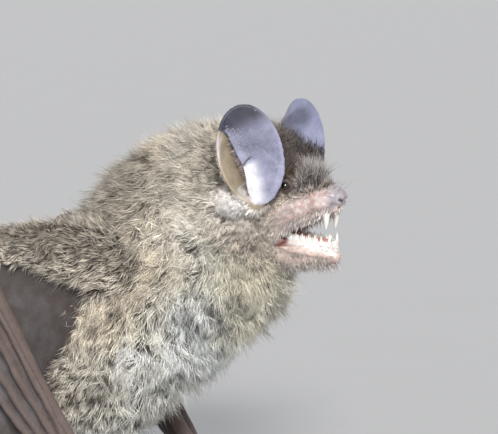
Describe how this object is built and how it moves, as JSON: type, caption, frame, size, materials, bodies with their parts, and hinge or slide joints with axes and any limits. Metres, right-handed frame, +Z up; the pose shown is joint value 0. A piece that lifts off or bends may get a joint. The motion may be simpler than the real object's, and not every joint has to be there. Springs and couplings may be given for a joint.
{
  "type": "bat",
  "caption": "Small funnel-eared bat as a life-size still model, standing on its wrists and feet with its head raised and its mouth open.",
  "frame": {"origin": "on the floor, under the middle of the whole model's bounding box", "axes": "+X towards the nose, +Y to the animal's left, +Z up"},
  "size_m": [0.086, 0.0396, 0.0464],
  "materials": {
    "fur": "long soft grizzled buffy-grey fur with paler tips",
    "face_skin": "thin pinkish skin with short sparse hair",
    "ear_skin": "thin lilac-grey skin with fine pale bumps",
    "wing_skin": "thin dark brown wrinkled wing skin",
    "foot_skin": "scaly brown-pink skin",
    "mouth_lining": "moist pink lining of the mouth",
    "eye": "wet black eye",
    "tooth": "smooth white enamel",
    "claw": "translucent brown horn"
  },
  "bodies": {
    "root": {"head": "fur", "neck": "fur", "chest": "fur", "abdomen": "fur", "lower_jaw": "face_skin", "tongue": "mouth_lining", "ear_left": "ear_skin", "ear_right": "ear_skin", "eye_left": "eye", "eye_right": "eye", "upper_arm_left": "fur", "upper_arm_right": "fur", "thigh_left": "fur", "thigh_right": "fur", "forearm_left": "wing_skin", "forearm_right": "wing_skin", "wing_fingers_left": "wing_skin", "wing_fingers_right": "wing_skin", "wing_membrane_left": "wing_skin", "wing_membrane_right": "wing_skin", "shin_left": "wing_skin", "shin_right": "wing_skin", "thumb_left": "foot_skin", "thumb_right": "foot_skin", "foot_left": "foot_skin", "foot_right": "foot_skin", "tail": "wing_skin", "tail_membrane_left": "wing_skin", "tail_membrane_right": "wing_skin"}
  },
  "joints": []
}
